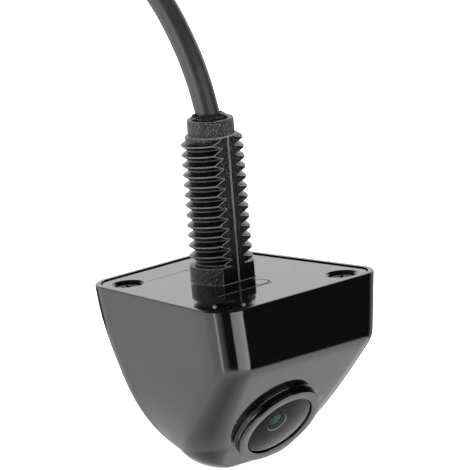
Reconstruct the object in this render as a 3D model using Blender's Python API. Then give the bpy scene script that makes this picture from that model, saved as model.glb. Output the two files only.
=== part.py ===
"""Stud-mount reversing camera with its pigtail and coupling plug, as an assembly of separate parts.

Row frame: metres, +Z up along the hollow threaded stem, origin on the stem's axis in the plane of the
housing's rim, -Y towards the side that the lens looks from. Sizes below are in millimetres.
Run with: blender --background --factory-startup --python part.py
"""
import math

import bmesh
import bpy
from mathutils import Matrix, Vector

MM = 0.001

# Housing: a rounded trapezoid in plan, straight in front, sloping under the lens, arched at the back.
FRONT_Y = 14.87
REAR_Y = 13.1
HALF_WIDTH = 13.36
PLAN_TAPER = 0.856
FRONT_CORNER = 3.45
REAR_CORNER = 3.7
FRONT_CORNER_GROWTH = 0.1
REAR_CORNER_GROWTH = -0.15
FRONT_DRAFT = 0.02
SIDE_DRAFT = 0.108
SLOPE_TILT = math.radians(39.1)
SLOPE_DISTANCE = 16.52
FOLD_SOFTNESS = 0.25
CHIN_RADIUS = 1.0
BOTTOM = 22.95
SHOULDER = 9.75
SHOULDER_POWERS = (3.9, 2.06)
CHIN_WIDTH_SHARE = 0.2
WALL = 2.3

# The cover plate lies in a pocket inside the rim, on a gasket.
RIM = 0.75
FIT_GAP = 0.3
PLATE_TOP = 0.15
PLATE_BOTTOM = 2.4
GASKET_TOP = 2.7
GASKET_BOTTOM = 3.3
LEDGE = 3.6
SCREWS = ((-9.2, -11.4), (9.2, -11.4), (-7.9, 8.65), (7.9, 8.65))

# Hollow stem, M8 x 1.25 with two flats.
PITCH = 1.25
THREAD_SHIFT = 0.5
CREST_R = 3.83
ROOT_R = 3.17
FLAT = 3.03
COLLAR_R = 3.95
COLLAR_TOP = 2.0
THREAD_TOP = 17.95
TIP_R = 2.88
STEM_TOP = 20.05
STEM_BORE = 1.85

# Lens axis: distances along it are counted from the row's origin plane, outwards.
LENS_DROP = -8.44
LENS_FACE = 17.62
BOSS_R = 5.95
BOSS_TOP = 16.97
BORE_R = 5.35

# Pigtail.
CABLE_R = 1.5
COIL_CENTRE = (0.0, 75.0)
COIL_R = 15.0
COIL_HALF = 3.1
FLOOR = -BOTTOM
COIL_BASE = FLOOR + 0.45
COUPLING_R = 6.4

# The plug lies on the coil, its mouth away from the housing.
PLUG_REAR = (-8.0, 69.5, -13.8)
PLUG_TILT = math.radians(11.0)


def clear_scene():
    for item in list(bpy.data.objects):
        bpy.data.objects.remove(item, do_unlink=True)


def material(name, colour, roughness, metallic=0.0, alpha=1.0):
    made = bpy.data.materials.new(name)
    made.use_nodes = True
    shader = made.node_tree.nodes["Principled BSDF"]
    shader.inputs["Base Color"].default_value = (*colour, 1.0)
    shader.inputs["Roughness"].default_value = roughness
    shader.inputs["Metallic"].default_value = metallic
    shader.inputs["Alpha"].default_value = alpha
    return made


def finish(name, shape, look, frame=None):
    """Turn a bmesh in millimetres into a named object in metres."""
    bmesh.ops.remove_doubles(shape, verts=shape.verts, dist=1e-5)
    bmesh.ops.recalc_face_normals(shape, faces=shape.faces)
    shape.transform(Matrix.Scale(MM, 4))
    mesh = bpy.data.meshes.new(name)
    shape.to_mesh(mesh)
    shape.free()
    mesh.shade_smooth()
    mesh.set_sharp_from_angle(angle=math.radians(35))
    made = bpy.data.objects.new(name, mesh)
    bpy.context.collection.objects.link(made)
    if look is not None:
        mesh.materials.append(look)
    if frame is not None:
        made.matrix_world = frame
    return made


def placed(origin, x_axis, y_axis, z_axis):
    """Matrix of a local frame, its origin in millimetres."""
    turn = Matrix((x_axis, y_axis, z_axis)).transposed().to_4x4()
    return Matrix.Translation(Vector(origin) * MM) @ turn


def loft(name, rings, look, frame=None):
    """Closed solid through rings of points, which all have the same count."""
    shape = bmesh.new()
    rows = [[shape.verts.new(point) for point in ring] for ring in rings]
    for low, high in zip(rows, rows[1:]):
        for i in range(len(low)):
            j = (i + 1) % len(low)
            shape.faces.new((low[i], low[j], high[j], high[i]))
    shape.faces.new(rows[0])
    shape.faces.new(rows[-1])
    return finish(name, shape, look, frame)


def turned(name, profile, look, frame=None, sides=18):
    """Solid of revolution about local Z through (radius, height) points, closed by itself or by the axis."""
    shape = bmesh.new()
    rows = []
    for radius, height in profile:
        if radius < 1e-6:
            rows.append([shape.verts.new((0, 0, height))] * sides)
            continue
        turn = [math.tau * i / sides for i in range(sides)]
        rows.append([shape.verts.new((radius * math.cos(t), radius * math.sin(t), height)) for t in turn])
    on_axis = profile[0][0] < 1e-6
    pairs = zip(rows, rows[1:] if on_axis else rows[1:] + rows[:1])
    for low, high in pairs:
        for i in range(sides):
            j = (i + 1) % sides
            corners = list(dict.fromkeys((low[i], low[j], high[j], high[i])))
            if len(corners) > 2:
                shape.faces.new(corners)
    return finish(name, shape, look, frame)


def box(name, low, high, look, frame=None, bevel=0.0):
    shape = bmesh.new()
    bmesh.ops.create_cube(shape, size=1.0)
    for vert in shape.verts:
        vert.co = Vector(low[k] if vert.co[k] < 0 else high[k] for k in range(3))
    if bevel:
        bmesh.ops.bevel(shape, geom=shape.edges, offset=bevel, segments=2, affect="EDGES", profile=0.5)
    return finish(name, shape, look, frame)


def combine(target, tool, operation="DIFFERENCE"):
    """Cut target with tool, or join tool to it; the tool stays as a hidden guide."""
    step = target.modifiers.new(tool.name, "BOOLEAN")
    step.operation = operation
    step.solver = "EXACT"
    step.object = tool
    tool.hide_render = True
    tool.display_type = "WIRE"


def drill(target, name, radius, low, high, frame=None, sides=16):
    combine(target, turned(name, ((0, low), (radius, low), (radius, high), (0, high)), None, frame, sides))


def at(x, y, z=0.0):
    return Matrix.Translation(Vector((x, y, z)) * MM)


# ---------------------------------------------------------------- housing shape


def soft_max(a, b, width):
    top = max(a, b)
    return top + width * math.log(math.exp((a - top) / width) + math.exp((b - top) / width))


def rear_arch():
    """Centre (y, depth) and radius of the arc that leaves the rim upright and meets the chin's round."""
    chin_y, chin_depth = chin_centre()
    reach = REAR_Y - chin_y
    radius = (reach**2 + chin_depth**2 - CHIN_RADIUS**2) / (2 * (reach - CHIN_RADIUS))
    return REAR_Y - radius, radius


def chin_centre():
    depth = BOTTOM - CHIN_RADIUS
    inside = SLOPE_DISTANCE - CHIN_RADIUS - depth * math.sin(SLOPE_TILT)
    return -inside / math.cos(SLOPE_TILT), depth


def front_y(depth):
    chin_y, chin_depth = chin_centre()
    if depth > chin_depth + CHIN_RADIUS * math.sin(SLOPE_TILT):
        return chin_y - math.sqrt(max(0.0, CHIN_RADIUS**2 - (depth - chin_depth) ** 2))
    upright = -FRONT_Y + FRONT_DRAFT * depth
    slope = -(SLOPE_DISTANCE - depth * math.sin(SLOPE_TILT)) / math.cos(SLOPE_TILT)
    return soft_max(upright, slope, FOLD_SOFTNESS)


def rear_y(depth):
    chin_y, chin_depth = chin_centre()
    arch_y, radius = rear_arch()
    touch = chin_depth + CHIN_RADIUS * chin_depth / (radius - CHIN_RADIUS)
    if depth > touch:
        return chin_y + math.sqrt(max(0.0, CHIN_RADIUS**2 - (depth - chin_depth) ** 2))
    return arch_y + math.sqrt(radius**2 - depth**2)


def half_width(depth):
    past = max(0.0, (depth - SHOULDER) / (BOTTOM - SHOULDER))
    round_in = max(0.0, 1 - past ** SHOULDER_POWERS[0]) ** (1 / SHOULDER_POWERS[1])
    return (HALF_WIDTH - SIDE_DRAFT * depth) * (CHIN_WIDTH_SHARE + (1 - CHIN_WIDTH_SHARE) * round_in)


def corner_radius(depth, end):
    """Radius of the plan's corners, which changes below the shoulder; end is -1 in front and 1 behind."""
    below = max(0.0, depth - SHOULDER)
    if end < 0:
        return FRONT_CORNER + FRONT_CORNER_GROWTH * below
    return REAR_CORNER + REAR_CORNER_GROWTH * below


def section(depth, inset=0.0, steps=5):
    """Outline of the housing at a depth below the rim, pulled in by inset: a trapezoid with round corners."""
    front = front_y(depth) + inset
    rear = rear_y(depth) - inset
    middle = (front + rear) / 2
    ring = []
    for side, end, start in ((-1, -1, 180), (1, -1, 270), (1, 1, 0), (-1, 1, 90)):
        wide = half_width(depth) * (1.0 if end < 0 else PLAN_TAPER) - inset
        edge = front if end < 0 else rear
        corner = max(0.05, corner_radius(depth, end) - inset)
        corner = min(corner, 0.97 * abs(edge - middle), 0.97 * wide)
        for k in range(steps + 1):
            turn = math.radians(start + 90 * k / steps)
            x = side * (wide - corner) + corner * math.cos(turn)
            y = edge - end * corner + corner * math.sin(turn)
            ring.append((x, y, -depth))
    return ring


def depths(top, bottom, count):
    """Depths from top to bottom, closer together towards the bottom."""
    return [top + (bottom - top) * math.sin(0.5 * math.pi * k / count) for k in range(count + 1)]


def make_housing(look):
    bottom = BOTTOM - 0.02
    housing = loft("housing", [section(d) for d in depths(0.0, bottom, 20)], look)
    lens = lens_frame()
    boss_root = SLOPE_DISTANCE - WALL / 2
    boss = turned("boss_guide", ((0, boss_root), (BOSS_R, boss_root), (BOSS_R, BOSS_TOP), (0, BOSS_TOP)),
                  None, lens, 32)
    combine(housing, boss, "UNION")
    pocket = loft("pocket_cutter", [[(x, y, z + (1.0 if d == 0 else 0.0)) for x, y, z in section(d, RIM)]
                                    for d in (0.0, LEDGE)], None)
    combine(housing, pocket)
    inside = [section(d, WALL + 0.3, 3) for d in (LEDGE - 0.2, 8.0, 12.0, 15.5, 18.6)]
    cavity = loft("cavity_cutter", inside, None)
    for number, (x, y) in enumerate(SCREWS):
        post = turned(f"post_guide_{number}", ((0, -9.0), (2.1, -9.0), (2.1, 0), (0, 0)), None, at(x, y), 12)
        combine(cavity, post)
    combine(housing, cavity)
    drill(housing, "lens_cutter", BORE_R, 9.0, LENS_FACE + 2, lens, 32)
    for number, (x, y) in enumerate(SCREWS):
        drill(housing, f"pilot_cutter_{number}", 1.1, -7.4, -LEDGE + 1, at(x, y), 12)
    return housing


# ---------------------------------------------------------------- cover plate with its stem


def thread_radius(height, turn):
    """Radius of the thread at a height, with the crest running round as the turn grows."""
    phase = ((height + THREAD_SHIFT) / PITCH - turn / math.tau) % 1.0
    tooth = min(1.0, max(0.0, 1.25 - 2.9 * abs(phase - 0.5)))
    run_out = min(1.0, (height - COLLAR_TOP) / 0.5, (THREAD_TOP - height) / 0.5)
    return ROOT_R + (CREST_R - ROOT_R) * tooth * max(0.0, run_out)


def stem_column(turn, rows_per_turn=4):
    """Points up one side of the stem, from inside the plate over its collar and thread to its tip."""
    step = PITCH / rows_per_turn
    count = int((THREAD_TOP - COLLAR_TOP) / step) + rows_per_turn + 1
    path = [(COLLAR_R, -PLATE_TOP - 0.8), (COLLAR_R, COLLAR_TOP)]
    for row in range(count + 1):
        height = COLLAR_TOP + (row - rows_per_turn) * step + PITCH * turn / math.tau
        height = min(THREAD_TOP, max(COLLAR_TOP, height))
        path.append((thread_radius(height, turn), height))
    path += [(TIP_R, THREAD_TOP), (TIP_R, STEM_TOP - 0.25), (TIP_R - 0.25, STEM_TOP)]
    return [(r * math.cos(turn), r * math.sin(turn), z) for r, z in path]


def stem_solid(name, sides=22):
    """Columns of points joined into a skin; the last column lies on the first, one pitch higher."""
    shape = bmesh.new()
    known = {}

    def vert(point):
        key = tuple(round(value, 4) for value in point)
        if key not in known:
            known[key] = shape.verts.new(point)
        return known[key]

    columns = [[vert(p) for p in stem_column(math.tau * i / sides)] for i in range(sides + 1)]
    for left, right in zip(columns, columns[1:]):
        for low in range(len(left) - 1):
            corners = list(dict.fromkeys((left[low], right[low], right[low + 1], left[low + 1])))
            if len(corners) > 2:
                shape.faces.new(corners)
    shape.faces.new([column[0] for column in columns[:-1]])
    shape.faces.new([column[-1] for column in columns[:-1]])
    stem = finish(name, shape, None)
    for side in (-1, 1):
        near, far = sorted((side * FLAT, side * (COLLAR_R + 1)))
        combine(stem, box(f"flat_cutter_{near:.0f}", (-5, near, -PLATE_TOP), (5, far, STEM_TOP + 1), None))
    return stem


def make_stem_plate(look):
    plate = loft("stem_plate", [section(d, RIM + FIT_GAP, 4) for d in (PLATE_TOP, PLATE_BOTTOM)], look)
    combine(plate, stem_solid("stem_guide"), "UNION")
    drill(plate, "stem_bore_cutter", STEM_BORE, -PLATE_BOTTOM - 1, STEM_TOP + 1, None, 20)
    for number, (x, y) in enumerate(SCREWS):
        profile = ((0, -PLATE_BOTTOM - 1), (1.2, -PLATE_BOTTOM - 1), (1.2, -PLATE_TOP - 1.3),
                   (1.8, -PLATE_TOP - 1.3), (1.8, -PLATE_TOP - 0.2), (2.2, -PLATE_TOP + 0.2),
                   (0, -PLATE_TOP + 0.2))
        combine(plate, turned(f"hole_cutter_{number}", profile, None, at(x, y), 16))
    return plate


def make_cover_screws(look):
    top = -PLATE_TOP - 0.35
    under = -PLATE_TOP - 1.15
    profile = ((0, top - 0.35), (0.6, top - 0.35), (0.75, top), (1.3, top), (1.5, top - 0.25), (1.5, under),
               (0.8, under), (0.8, -6.6), (0.5, -7.0), (0, -7.0))
    for number, (x, y) in enumerate(SCREWS, 1):
        turned(f"cover_screw_{number}", profile, look, at(x, y), 12)


def make_gasket(look):
    gasket = loft("cover_gasket", [section(d, RIM + FIT_GAP, 3) for d in (GASKET_TOP, GASKET_BOTTOM)], look)
    inside = section(GASKET_TOP, 2.0, 3)
    opening = [[(x, y, -depth) for x, y, _ in inside] for depth in (GASKET_TOP - 1, GASKET_BOTTOM + 1)]
    combine(gasket, loft("gasket_cutter", opening, None))
    return gasket


# ---------------------------------------------------------------- lens and electronics


def lens_frame():
    """Local Z along the optical axis, outwards; local Y up along the slope."""
    out = Vector((0, -math.cos(SLOPE_TILT), -math.sin(SLOPE_TILT)))
    up = Vector((0, -math.sin(SLOPE_TILT), math.cos(SLOPE_TILT)))
    return placed(up * LENS_DROP, Vector((1, 0, 0)), up, out)


def dome(radius, edge, rise, steps=3):
    """Profile of a spherical cap from its edge to the axis."""
    return [(radius * math.cos(0.5 * math.pi * k / steps), edge + rise * math.sin(0.5 * math.pi * k / steps))
            for k in range(steps + 1)]


def lens_solid(name, radius, low, high, front_rise, rear_rise, look):
    """Element with spherical faces; a negative rear rise is hollow."""
    front = dome(radius, high, front_rise)
    rear = [(r, low - rear_rise * h) for r, h in dome(radius * 0.86, 0.0, 1.0)]
    profile = [(0, rear[-1][1])] + rear[::-1][1:] + [(radius, low)] + front
    return turned(name, profile, look, lens_frame())


def make_lens(looks):
    frame = lens_frame()
    metal, glass, rubber = looks["black_metal"], looks["glass"], looks["rubber"]
    barrel = ((BOSS_R, LENS_FACE), (BOSS_R, BOSS_TOP + 0.2), (5.05, BOSS_TOP + 0.2), (5.05, 15.4), (4.5, 15.4),
              (4.5, 14.5), (5.05, 14.5), (5.05, 13.4), (4.2, 13.2), (4.2, 8.3), (2.5, 8.3), (2.5, 14.4),
              (3.75, 14.4), (3.75, 16.0), (4.72, 16.0), (4.72, LENS_FACE - 0.1), (4.8, LENS_FACE))
    turned("lens_barrel", barrel, metal, frame, 28)
    lens_solid("front_glass", 4.6, 16.75, 17.5, 0.5, -0.75, glass)
    turned("glass_seal", [(4.2 + 0.2 * math.cos(math.tau * k / 6), 16.33 + 0.2 * math.sin(math.tau * k / 6))
                          for k in range(6)], rubber, frame)
    turned("barrel_seal", [(4.94 + 0.3 * math.cos(math.tau * k / 6), 14.95 + 0.3 * math.sin(math.tau * k / 6))
                           for k in range(6)], rubber, frame, 20)
    hood = ((1.75, 14.7), (3.55, 14.7), (3.55, 16.2), (3.4, 16.5), (1.75, 15.9))
    turned("lens_hood", hood, metal, frame)
    lens_solid("second_lens", 1.6, 14.75, 15.55, 0.5, 0.0, glass)
    turned("aperture_ring", ((0.7, 13.3), (2.35, 13.3), (2.35, 13.7), (0.7, 13.5)), metal, frame)
    lens_solid("third_lens", 2.3, 11.7, 12.6, 0.4, 0.3, glass)
    lens_solid("rear_lens", 2.3, 9.0, 10.9, 0.3, 0.3, glass)


def make_sensor(looks):
    frame = lens_frame()
    plastic, board = looks["black_plastic"], looks["board"]
    holder = turned("lens_holder", ((0, 5.3), (5.6, 5.3), (5.6, 12.0), (0, 12.0)), plastic, frame, 24)
    combine(holder, box("holder_foot_guide", (-5.7, -5.7, 5.3), (5.7, 5.7, 7.2), None, frame), "UNION")
    drill(holder, "holder_bore_cutter", 4.45, 8.0, 13.0, frame, 20)
    drill(holder, "holder_window_cutter", 2.6, 6.5, 8.5, frame)
    combine(holder, box("holder_pocket_cutter", (-3.9, -3.9, 5.0), (3.9, 3.9, 6.9), None, frame))
    for number, side in enumerate((-1, 1), 1):
        spot = frame @ at(4.7 * side, 4.7 * side)
        drill(holder, f"holder_pilot_cutter_{number}", 0.85, 5.0, 6.9, spot, 10)
        turned(f"holder_screw_{number}", ((0, 2.9), (1.1, 2.9), (1.1, 3.7), (0.55, 3.7), (0.55, 6.6), (0, 6.6)),
               looks["steel"], spot, 8)
    box("ir_filter", (-3.2, -3.2, 6.15), (3.2, 3.2, 6.65), looks["filter"], frame)
    box("image_sensor", (-2.6, -2.2, 5.25), (2.6, 2.2, 5.9), looks["sensor"], frame)
    sensor_board = box("sensor_board", (-6.3, -6.0, 4.0), (6.3, 6.0, 5.0), board, frame)
    for number, side in enumerate((-1, 1), 1):
        spot = frame @ at(4.7 * side, 4.7 * side)
        drill(sensor_board, f"board_hole_cutter_{number}", 0.85, 3.5, 5.5, spot, 10)
    box("board_header", (-4.0, 1.2, 2.5), (2.6, 2.8, 3.7), plastic, frame)
    box("power_board", (-5.5, -4.2, 1.2), (5.5, 3.4, 2.2), board, frame)
    box("regulator_coil", (-4.6, -3.6, 2.45), (-1.8, -0.8, 3.6), looks["ferrite"], frame, 0.2)


def make_wiring(looks):
    """Socket on the power board, its plug, and the four wires up to the end of the cable in the stem."""
    frame = lens_frame()
    socket = box("wire_socket", (-3.3, -3.6, -1.8), (3.3, -0.4, 0.9), looks["white_plastic"], frame)
    combine(socket, box("socket_cutter", (-2.9, -2.9, -1.35), (2.9, 0.4, 0.45), None, frame))
    box("wire_plug", (-2.65, -2.65, -1.15), (2.65, 0.5, 0.25), looks["white_plastic"], frame)
    names = ("power_wire", "ground_wire", "video_wire", "trigger_wire")
    lift = frame.to_3x3() @ Vector((0, 1, 0))
    for number, name in enumerate(names):
        spread = number - 1.5
        first = (frame @ (Vector((spread * 1.2, 0.85, -0.45)) * MM)) / MM
        route = [first, first + lift * 0.9, Vector((spread, 2.7, -3.1)), Vector((spread * 0.7, 0.35, -2.3)),
                 Vector((spread * 0.64, 0, -1.3))]
        tube(name, smooth_route(route, 0.55), 0.26, looks[name])


# ---------------------------------------------------------------- cable and plug


def smooth_route(points, spacing):
    """Points along a centripetal Catmull-Rom curve through the route, about spacing apart."""
    points = [Vector(p) for p in points]
    points = [2 * points[0] - points[1]] + points + [2 * points[-1] - points[-2]]
    dense = []
    for a, b, c, d in zip(points, points[1:], points[2:], points[3:]):
        knots = [0.0]
        for left, right in ((a, b), (b, c), (c, d)):
            knots.append(knots[-1] + math.sqrt((right - left).length))
        for k in range(12):
            t = knots[1] + (knots[2] - knots[1]) * k / 12
            low = [mix(p, q, knots[i], knots[i + 1], t) for i, (p, q) in enumerate(((a, b), (b, c), (c, d)))]
            mid = [mix(low[0], low[1], knots[0], knots[2], t), mix(low[1], low[2], knots[1], knots[3], t)]
            dense.append(mix(mid[0], mid[1], knots[1], knots[2], t))
    dense.append(points[-2])
    return evenly(dense, spacing)


def mix(p, q, start, end, t):
    return p.lerp(q, (t - start) / (end - start))


def evenly(line, spacing):
    lengths = [0.0]
    for p, q in zip(line, line[1:]):
        lengths.append(lengths[-1] + (q - p).length)
    count = max(2, round(lengths[-1] / spacing))
    out = []
    spot = 0
    for k in range(count + 1):
        want = lengths[-1] * k / count
        while spot < len(line) - 2 and lengths[spot + 1] < want:
            spot += 1
        share = (want - lengths[spot]) / max(1e-9, lengths[spot + 1] - lengths[spot])
        out.append(line[spot].lerp(line[spot + 1], min(1.0, share)))
    return out


def tube(name, points, radius, look):
    curve = bpy.data.curves.new(name, "CURVE")
    curve.dimensions = "3D"
    curve.bevel_depth = radius * MM
    curve.bevel_resolution = 2
    curve.use_fill_caps = True
    spline = curve.splines.new("POLY")
    spline.points.add(len(points) - 1)
    for spot, point in zip(spline.points, points):
        spot.co = (*(Vector(point) * MM), 1.0)
    curve.materials.append(look)
    made = bpy.data.objects.new(name, curve)
    bpy.context.collection.objects.link(made)
    return made


LEAD_ROUTE = (
    (0.0, 0.05, 19.0), (0.0, 0.3, 20.2), (0.0, 0.62, 21.4), (0.0, 1.41, 24.0), (0.0, 3.36, 28.3),
    (0.0, 7.3, 33.9), (0.0, 15.0, 40.3), (0.0, 25.5, 43.8), (-0.6, 36.0, 41.6), (-2.2, 43.8, 34.3),
    (-4.2, 47.8, 23.5), (-6.0, 49.4, 11.0), (-7.8, 50.2, -1.5), (-10.0, 51.6, -12.2), (-12.6, 55.2, -18.9),
    (-14.7, 59.5, -20.8), (-15.5, 62.3, -21.0),
)
TAIL_ROUTE = (
    (15.4, 69.4, -14.7), (11.3, 63.8, -14.7), (5.2, 60.8, -14.7), (0.0, 60.8, -14.7), (-4.05, 61.9, -14.7),
    (-7.0, 64.8, -14.6), (-7.95, 67.6, -14.17), (-8.0, 69.15, -13.87),
)


def ring_of(radius, shift, height, sides=16):
    """Level circle of points whose centre is moved along Y."""
    turns = [math.tau * i / sides for i in range(sides)]
    return [(radius * math.cos(t), shift + radius * math.sin(t), height) for t in turns]


def make_cable(looks):
    jacket = looks["cable"]
    tube("cable_in_stem", [(0, 0, z) for z in (-1.0, 4.0, 9.0, 14.0, 18.3)], CABLE_R, jacket)
    low = STEM_TOP + 0.05
    seal = ((0, low), (2.35, low), (2.3, low + 0.3), (2.05, low + 0.7), (1.8, low + 0.85), (0, low + 0.85))
    bead = turned("stem_sealant", seal, looks["sealant"], at(0, 0.3), 20)
    way = [ring_of(1.68, y, z) for _, y, z in LEAD_ROUTE[:4]]
    lean = loft("cable_way_cutter", [ring_of(1.68, 0.0, 18.0)] + way, None)
    combine(bead, lean)
    tube("cord_lead", smooth_route(LEAD_ROUTE, 6.0), CABLE_R, jacket)
    x, y = COIL_CENTRE
    inner, outer, top = COIL_R - COIL_HALF, COIL_R + COIL_HALF, COIL_BASE + 2 * COIL_HALF
    turned("cord_coil", ((outer, top), (outer, COIL_BASE), (inner, COIL_BASE), (inner, top)), jacket,
           at(x, y), 40)
    tie_in, tie_out = COIL_HALF + 0.2, COIL_HALF + 0.55
    spot = at(x, y) @ Matrix.Rotation(math.radians(-40), 4, "Z")
    tie = box("coil_tie", (-1.5, COIL_R - tie_out, COIL_BASE - 0.4), (1.5, COIL_R + tie_out, top + 0.55),
              looks["tie"], spot)
    combine(tie, box("tie_cutter", (-3, COIL_R - tie_in, COIL_BASE - 0.1), (3, COIL_R + tie_in, top + 0.2),
                     None, spot))
    tube("cord_tail", smooth_route(TAIL_ROUTE, 1.6), CABLE_R, jacket)


def plug_frame():
    """Local Z runs along the plug, from the cable towards its mouth."""
    across = Vector((-1, 0, 0))
    along = Vector((0, math.cos(PLUG_TILT), math.sin(PLUG_TILT)))
    return placed(PLUG_REAR, across, along.cross(across), along)


def make_plug(looks):
    frame = plug_frame()
    boot = ((0, 0), (1.9, 0), (2.2, 0.6), (2.6, 9.0), (3.4, 9.6), (3.4, 12.7), (0, 12.7))
    turned("plug_boot", boot, looks["rubber"], frame, 20)
    body = ((0, 13.0), (4.2, 13.0), (4.85, 13.7), (4.85, 22.2), (5.25, 22.4), (5.25, 23.2), (4.3, 23.2),
            (4.3, 26.8), (3.5, 26.8), (3.5, 24.2), (0, 24.2))
    turned("plug_body", body, looks["black_plastic"], frame, 20)
    block = ((0, 24.5), (3.2, 24.5), (3.2, 31.3), (0, 31.3))
    insert = turned("contact_insert", block, looks["insert"], frame, 18)
    socket = ((0, 25.3), (0.48, 25.3), (0.48, 30.9), (0.3, 30.9), (0.3, 27.0), (0, 27.0))
    for number in range(4):
        turn = math.tau * (number + 0.5) / 4
        spot = frame @ at(1.55 * math.cos(turn), 1.55 * math.sin(turn))
        drill(insert, f"contact_cutter_{number}", 0.62, 25.0, 32.0, spot, 10)
        turned(f"contact_{number + 1}", socket, looks["brass"], spot, 10)
    turned("plug_seal", [(4.62 + 0.27 * math.cos(math.tau * k / 6), 25.6 + 0.27 * math.sin(math.tau * k / 6))
                         for k in range(6)], looks["seal"], frame, 18)


def make_coupling_ring(look):
    """Knurled nut that turns freely on the plug body, held behind its shoulder."""
    ridges = 14
    outline = []
    for k in range(ridges * 4):
        radius = COUPLING_R if k % 4 in (0, 1) else COUPLING_R - 0.35
        turn = math.tau * k / (ridges * 4)
        outline.append((radius * math.cos(turn), radius * math.sin(turn)))
    ring = loft("coupling_ring", [[(x, y, z) for x, y in outline] for z in (20.6, 32.4)], look, plug_frame())
    inside = ((0, 20.0), (5.05, 20.0), (5.05, 21.9), (5.5, 22.1), (5.5, 23.5), (5.1, 23.9), (5.1, 33.0),
              (0, 33.0))
    combine(ring, turned("ring_cutter", inside, None, plug_frame(), 20))
    return ring


def make_looks():
    gloss = material("gloss_black", (0.02, 0.02, 0.022), 0.12)
    return {
        "gloss": gloss,
        "black_metal": material("black_metal", (0.03, 0.03, 0.032), 0.25, 0.6),
        "black_plastic": material("black_plastic", (0.03, 0.03, 0.03), 0.45),
        "white_plastic": material("white_plastic", (0.75, 0.73, 0.68), 0.5),
        "glass": material("lens_glass", (0.55, 0.62, 0.6), 0.03, 0.0, 0.4),
        "filter": material("ir_glass", (0.35, 0.5, 0.55), 0.05),
        "sensor": material("sensor_die", (0.12, 0.13, 0.2), 0.15, 0.4),
        "board": material("circuit_board", (0.03, 0.18, 0.08), 0.4),
        "ferrite": material("ferrite", (0.12, 0.12, 0.12), 0.6),
        "steel": material("screw_steel", (0.1, 0.1, 0.1), 0.3, 0.9),
        "rubber": material("rubber", (0.02, 0.02, 0.02), 0.8),
        "cable": material("cable_jacket", (0.03, 0.03, 0.03), 0.4),
        "sealant": material("sealant", (0.015, 0.015, 0.015), 0.15),
        "tie": material("tie_plastic", (0.04, 0.04, 0.04), 0.4),
        "insert": material("insert_plastic", (0.06, 0.06, 0.065), 0.5),
        "brass": material("contact_brass", (0.75, 0.6, 0.28), 0.25, 1.0),
        "seal": material("seal_rubber", (0.5, 0.08, 0.05), 0.6),
        "power_wire": material("red_wire", (0.5, 0.03, 0.02), 0.45),
        "ground_wire": material("black_wire", (0.02, 0.02, 0.02), 0.45),
        "video_wire": material("yellow_wire", (0.7, 0.5, 0.03), 0.45),
        "trigger_wire": material("green_wire", (0.05, 0.35, 0.1), 0.45),
    }


def main():
    clear_scene()
    looks = make_looks()
    make_housing(looks["gloss"])
    make_stem_plate(looks["gloss"])
    make_cover_screws(looks["steel"])
    make_gasket(looks["rubber"])
    make_lens(looks)
    make_sensor(looks)
    make_wiring(looks)
    make_cable(looks)
    make_plug(looks)
    make_coupling_ring(looks["black_plastic"])


main()
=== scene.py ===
"""Looks of the stud-mount reversing camera, made on the frame that its CAD model gives.

Sizes are in millimetres in the CAD's own frame: +Z up along the stem, -Y the way the lens looks.
Driving dimensions repeat those of the CAD source and everything else is worked out from them. Drawn as
they look instead are the joint round the cover plate, which is thinner than the CAD's, and what lies
under the front glass: its blackened underside, the hood and the second lens.
"""
import math

import bmesh
import bpy
from mathutils import Matrix, Vector, noise


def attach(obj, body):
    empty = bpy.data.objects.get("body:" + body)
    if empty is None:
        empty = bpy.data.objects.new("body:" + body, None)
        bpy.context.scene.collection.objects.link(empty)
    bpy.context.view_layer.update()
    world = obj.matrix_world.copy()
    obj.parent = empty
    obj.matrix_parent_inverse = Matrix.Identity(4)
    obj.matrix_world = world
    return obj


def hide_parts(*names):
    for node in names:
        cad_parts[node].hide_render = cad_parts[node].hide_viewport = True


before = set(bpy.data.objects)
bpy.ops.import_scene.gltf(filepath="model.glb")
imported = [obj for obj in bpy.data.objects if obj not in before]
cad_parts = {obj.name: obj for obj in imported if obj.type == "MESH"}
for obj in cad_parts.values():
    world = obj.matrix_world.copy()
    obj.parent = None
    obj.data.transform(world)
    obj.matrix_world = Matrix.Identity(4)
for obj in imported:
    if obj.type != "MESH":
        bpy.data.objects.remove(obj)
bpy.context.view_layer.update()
MM = 0.001

# Camera.
AZIMUTH = math.radians(-40.82)
ELEVATION = math.radians(12.74)
ROLL = math.radians(-4.67)
FOCAL = 507.3
DISTANCE = 808.6
AIM = Vector((2.16, -0.38, 4.91))

# Light: walls of the tent as (heading in degrees, brightness), below and over the horizon.
BRIGHTEST = 3.2
SIDE_WALL = ((-75, 1.2), (-4, 1.2), (-1, 2.8), (5, 2.8), (9, 0.9), (20, 0.55), (31, 0.2), (36, 0.0), (66, 0.0))
LOW_WALLS = (
    (-180, 0.4), (-125, 0.4), *SIDE_WALL, (70, 2.0), (100, 2.5), (119, 3.2), (122, 0.0), (165, 0.0), (176, 0.4),
)
HIGH_WALLS = (
    (-180, 1.24), (-125, 1.24), *SIDE_WALL, (70, 0.7), (119, 0.7), (122, 0.0), (165, 0.0), (176, 1.24),
)
GROUND = ((-85, 0.55), (-65, 0.84), (-42, 1.32))
FLOOR_HALF_SIZE = 4000.0
LAMP_SIZE = 1.6
LAMP_HEIGHT = 1.5
LAMP_WATTS = 14.0

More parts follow.
